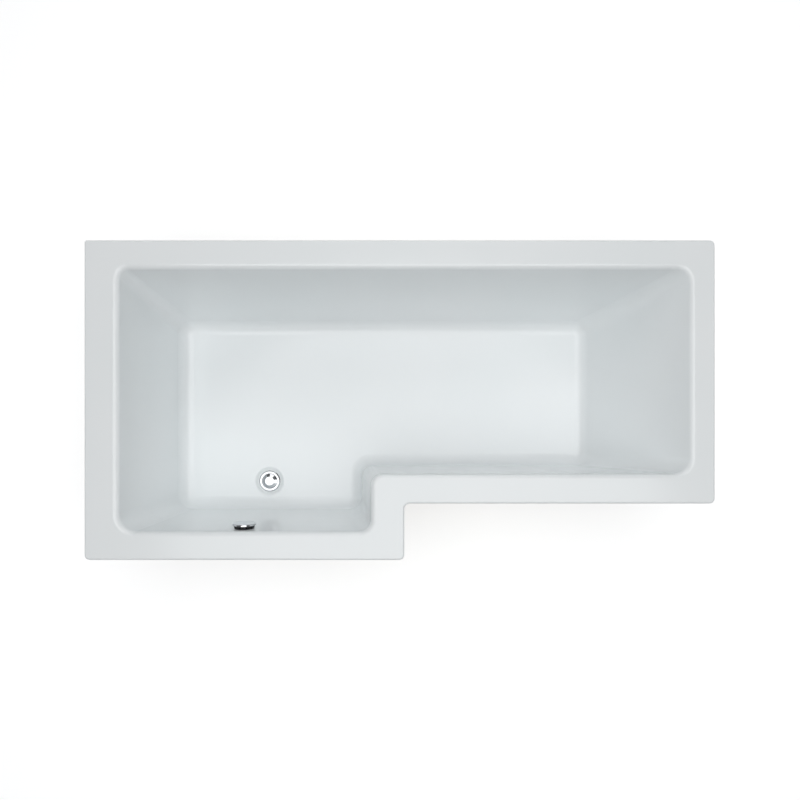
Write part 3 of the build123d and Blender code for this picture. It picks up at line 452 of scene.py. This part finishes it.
def ribbed_hose(material):
    """Moulded hose: a plain cuff at each end, rounded ribs between them, an open bore."""
    low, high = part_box("overflow_hose")
    radius = (high[0] - low[0]) / 2
    start = Vector((low[0] + radius, low[1] + radius, high[2]))
    end = Vector((start.x, high[1], low[2] + radius))
    drop = start.z - end.z - hose_bend_radius
    bend = hose_bend_radius * pi / 2
    length = drop + bend + end.y - start.y - hose_bend_radius
    rings = hose_rings(length, radius)
    points = [point for distance, size in rings for point in hose_ring(start, drop, distance, size)]
    faces = []
    for row in range(len(rings)):
        here = row * hose_sides
        there = (row + 1) % len(rings) * hose_sides
        for side in range(hose_sides):
            beside = (side + 1) % hose_sides
            faces.append((here + side, here + beside, there + beside, there + side))
    mesh = bpy.data.meshes.new("ribbed_hose")
    mesh.from_pydata(points, [], faces)
    mesh.shade_smooth()
    mesh.materials.append(material)
    piece = bpy.data.objects.new("ribbed_hose", mesh)
    bpy.context.collection.objects.link(piece)
    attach(piece, "bath")
    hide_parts("overflow_hose")


def release_cable(material):
    """Sleeved cable on one smooth line from port to port."""
    curve = bpy.data.curves.new("release_cable", "CURVE")
    curve.dimensions = "3D"
    curve.resolution_u = 24
    curve.bevel_depth = cable_radius
    curve.bevel_resolution = 8
    curve.use_fill_caps = True
    line = curve.splines.new("NURBS")
    line.points.add(len(cable_route) - 1)
    for point, place in zip(line.points, cable_route):
        point.co = (*place, 1)
    line.order_u = 3
    line.use_endpoint_u = True
    curve.materials.append(material)
    piece = bpy.data.objects.new("release_cable", curve)
    bpy.context.collection.objects.link(piece)
    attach(piece, "bath")
    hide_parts("control_cable")


def add_floor():
    """Pale floor that shows white to the camera and keeps the soft shadow."""
    bpy.ops.mesh.primitive_plane_add(size=floor_side, location=(0, 0, 0))
    floor = bpy.context.object
    floor.name = "studio_floor"
    finish = Finish("studio_floor", colour(236, 237, 238), 0.9)
    surface = finish.shader.outputs["BSDF"]
    glow = finish.node("ShaderNodeEmission", values={"Strength": floor_glow}).outputs["Emission"]
    lifted = finish.node("ShaderNodeAddShader", {0: surface, 1: glow}).outputs["Shader"]
    paths = finish.node("ShaderNodeLightPath").outputs
    seen = finish.maths("MAXIMUM", paths["Is Camera Ray"], paths["Is Glossy Ray"])
    mix = finish.node("ShaderNodeMixShader", {"Fac": seen, 1: surface, 2: lifted})
    output = finish.tree.nodes["Material Output"]
    finish.tree.links.new(mix.outputs["Shader"], output.inputs["Surface"])
    floor.data.materials.append(finish.material)


def add_sky():
    """Even grey light from all round, with a white horizon that the camera, metal and glass see."""
    world = bpy.data.worlds.new("studio")
    bpy.context.scene.world = world
    world.use_nodes = True
    sky = Nodes(world.node_tree)
    light = sky.tree.nodes["Background"]
    light.inputs["Color"].default_value = sky_tint
    light.inputs["Strength"].default_value = sky_strength
    grey = light.outputs["Background"]
    white = sky.node("ShaderNodeBackground", values={"Color": (1.0, 1.0, 1.0, 1.0)}).outputs["Background"]
    direction = sky.node("ShaderNodeTexCoord").outputs["Generated"]
    rise = sky.node("ShaderNodeSeparateXYZ", {"Vector": direction}).outputs["Z"]
    horizon = sky.span(rise, 1.0, 0.0, horizon_white_to, horizon_grey_from)
    paths = sky.node("ShaderNodeLightPath").outputs
    mirrored = sky.maths("MAXIMUM", paths["Is Glossy Ray"], paths["Is Transmission Ray"])
    mirrored = sky.maths("MULTIPLY", mirrored, horizon)
    seen = sky.maths("MAXIMUM", paths["Is Camera Ray"], mirrored)
    mix = sky.node("ShaderNodeMixShader", {"Fac": seen, 1: grey, 2: white})
    sky.tree.links.new(mix.outputs["Shader"], sky.tree.nodes["World Output"].inputs["Surface"])


def add_lamp(name, place, size, power, target):
    """Round soft lamp that points at a place."""
    data = bpy.data.lights.new(name, "AREA")
    data.shape = "DISK"
    data.size = size
    data.energy = power
    lamp = bpy.data.objects.new(name, data)
    lamp.location = place
    lamp.rotation_mode = "QUATERNION"
    lamp.rotation_quaternion = (Vector(target) - Vector(place)).to_track_quat("-Z", "Y")
    bpy.context.collection.objects.link(lamp)


def add_camera():
    """Looks straight down; the shift brings the plan's centre to the middle."""
    data = bpy.data.cameras.new("camera")
    data.sensor_width = sensor_mm
    data.lens = focal_px / photo_side_px * sensor_mm
    middle = photo_side_px / 2
    data.shift_x = (middle - nadir_px[0]) / photo_side_px
    data.shift_y = (nadir_px[1] - middle) / photo_side_px
    camera = bpy.data.objects.new("camera", data)
    rim_height = cad_box[1][2]
    metres_per_px = (camera_height - rim_height) / focal_px
    across = (nadir_px[0] - plan_centre_px[0]) * metres_per_px
    along = (plan_centre_px[1] - nadir_px[1]) * metres_per_px
    camera.location = (across, along, camera_height)
    bpy.context.collection.objects.link(camera)
    bpy.context.scene.camera = camera


black = black_plastic()
dress_nodes(black)
ribbed_hose(moulded_plastic("grey_hose", (206, 208, 209), 0.42))
release_cable(black)
add_floor()
add_sky()
add_lamp("key", key_place, key_size, key_power, (*key_place[:2], 0))
add_lamp("fill", fill_place, fill_size, fill_power, fill_target)
add_camera()
bpy.context.scene.view_settings.view_transform = "Standard"
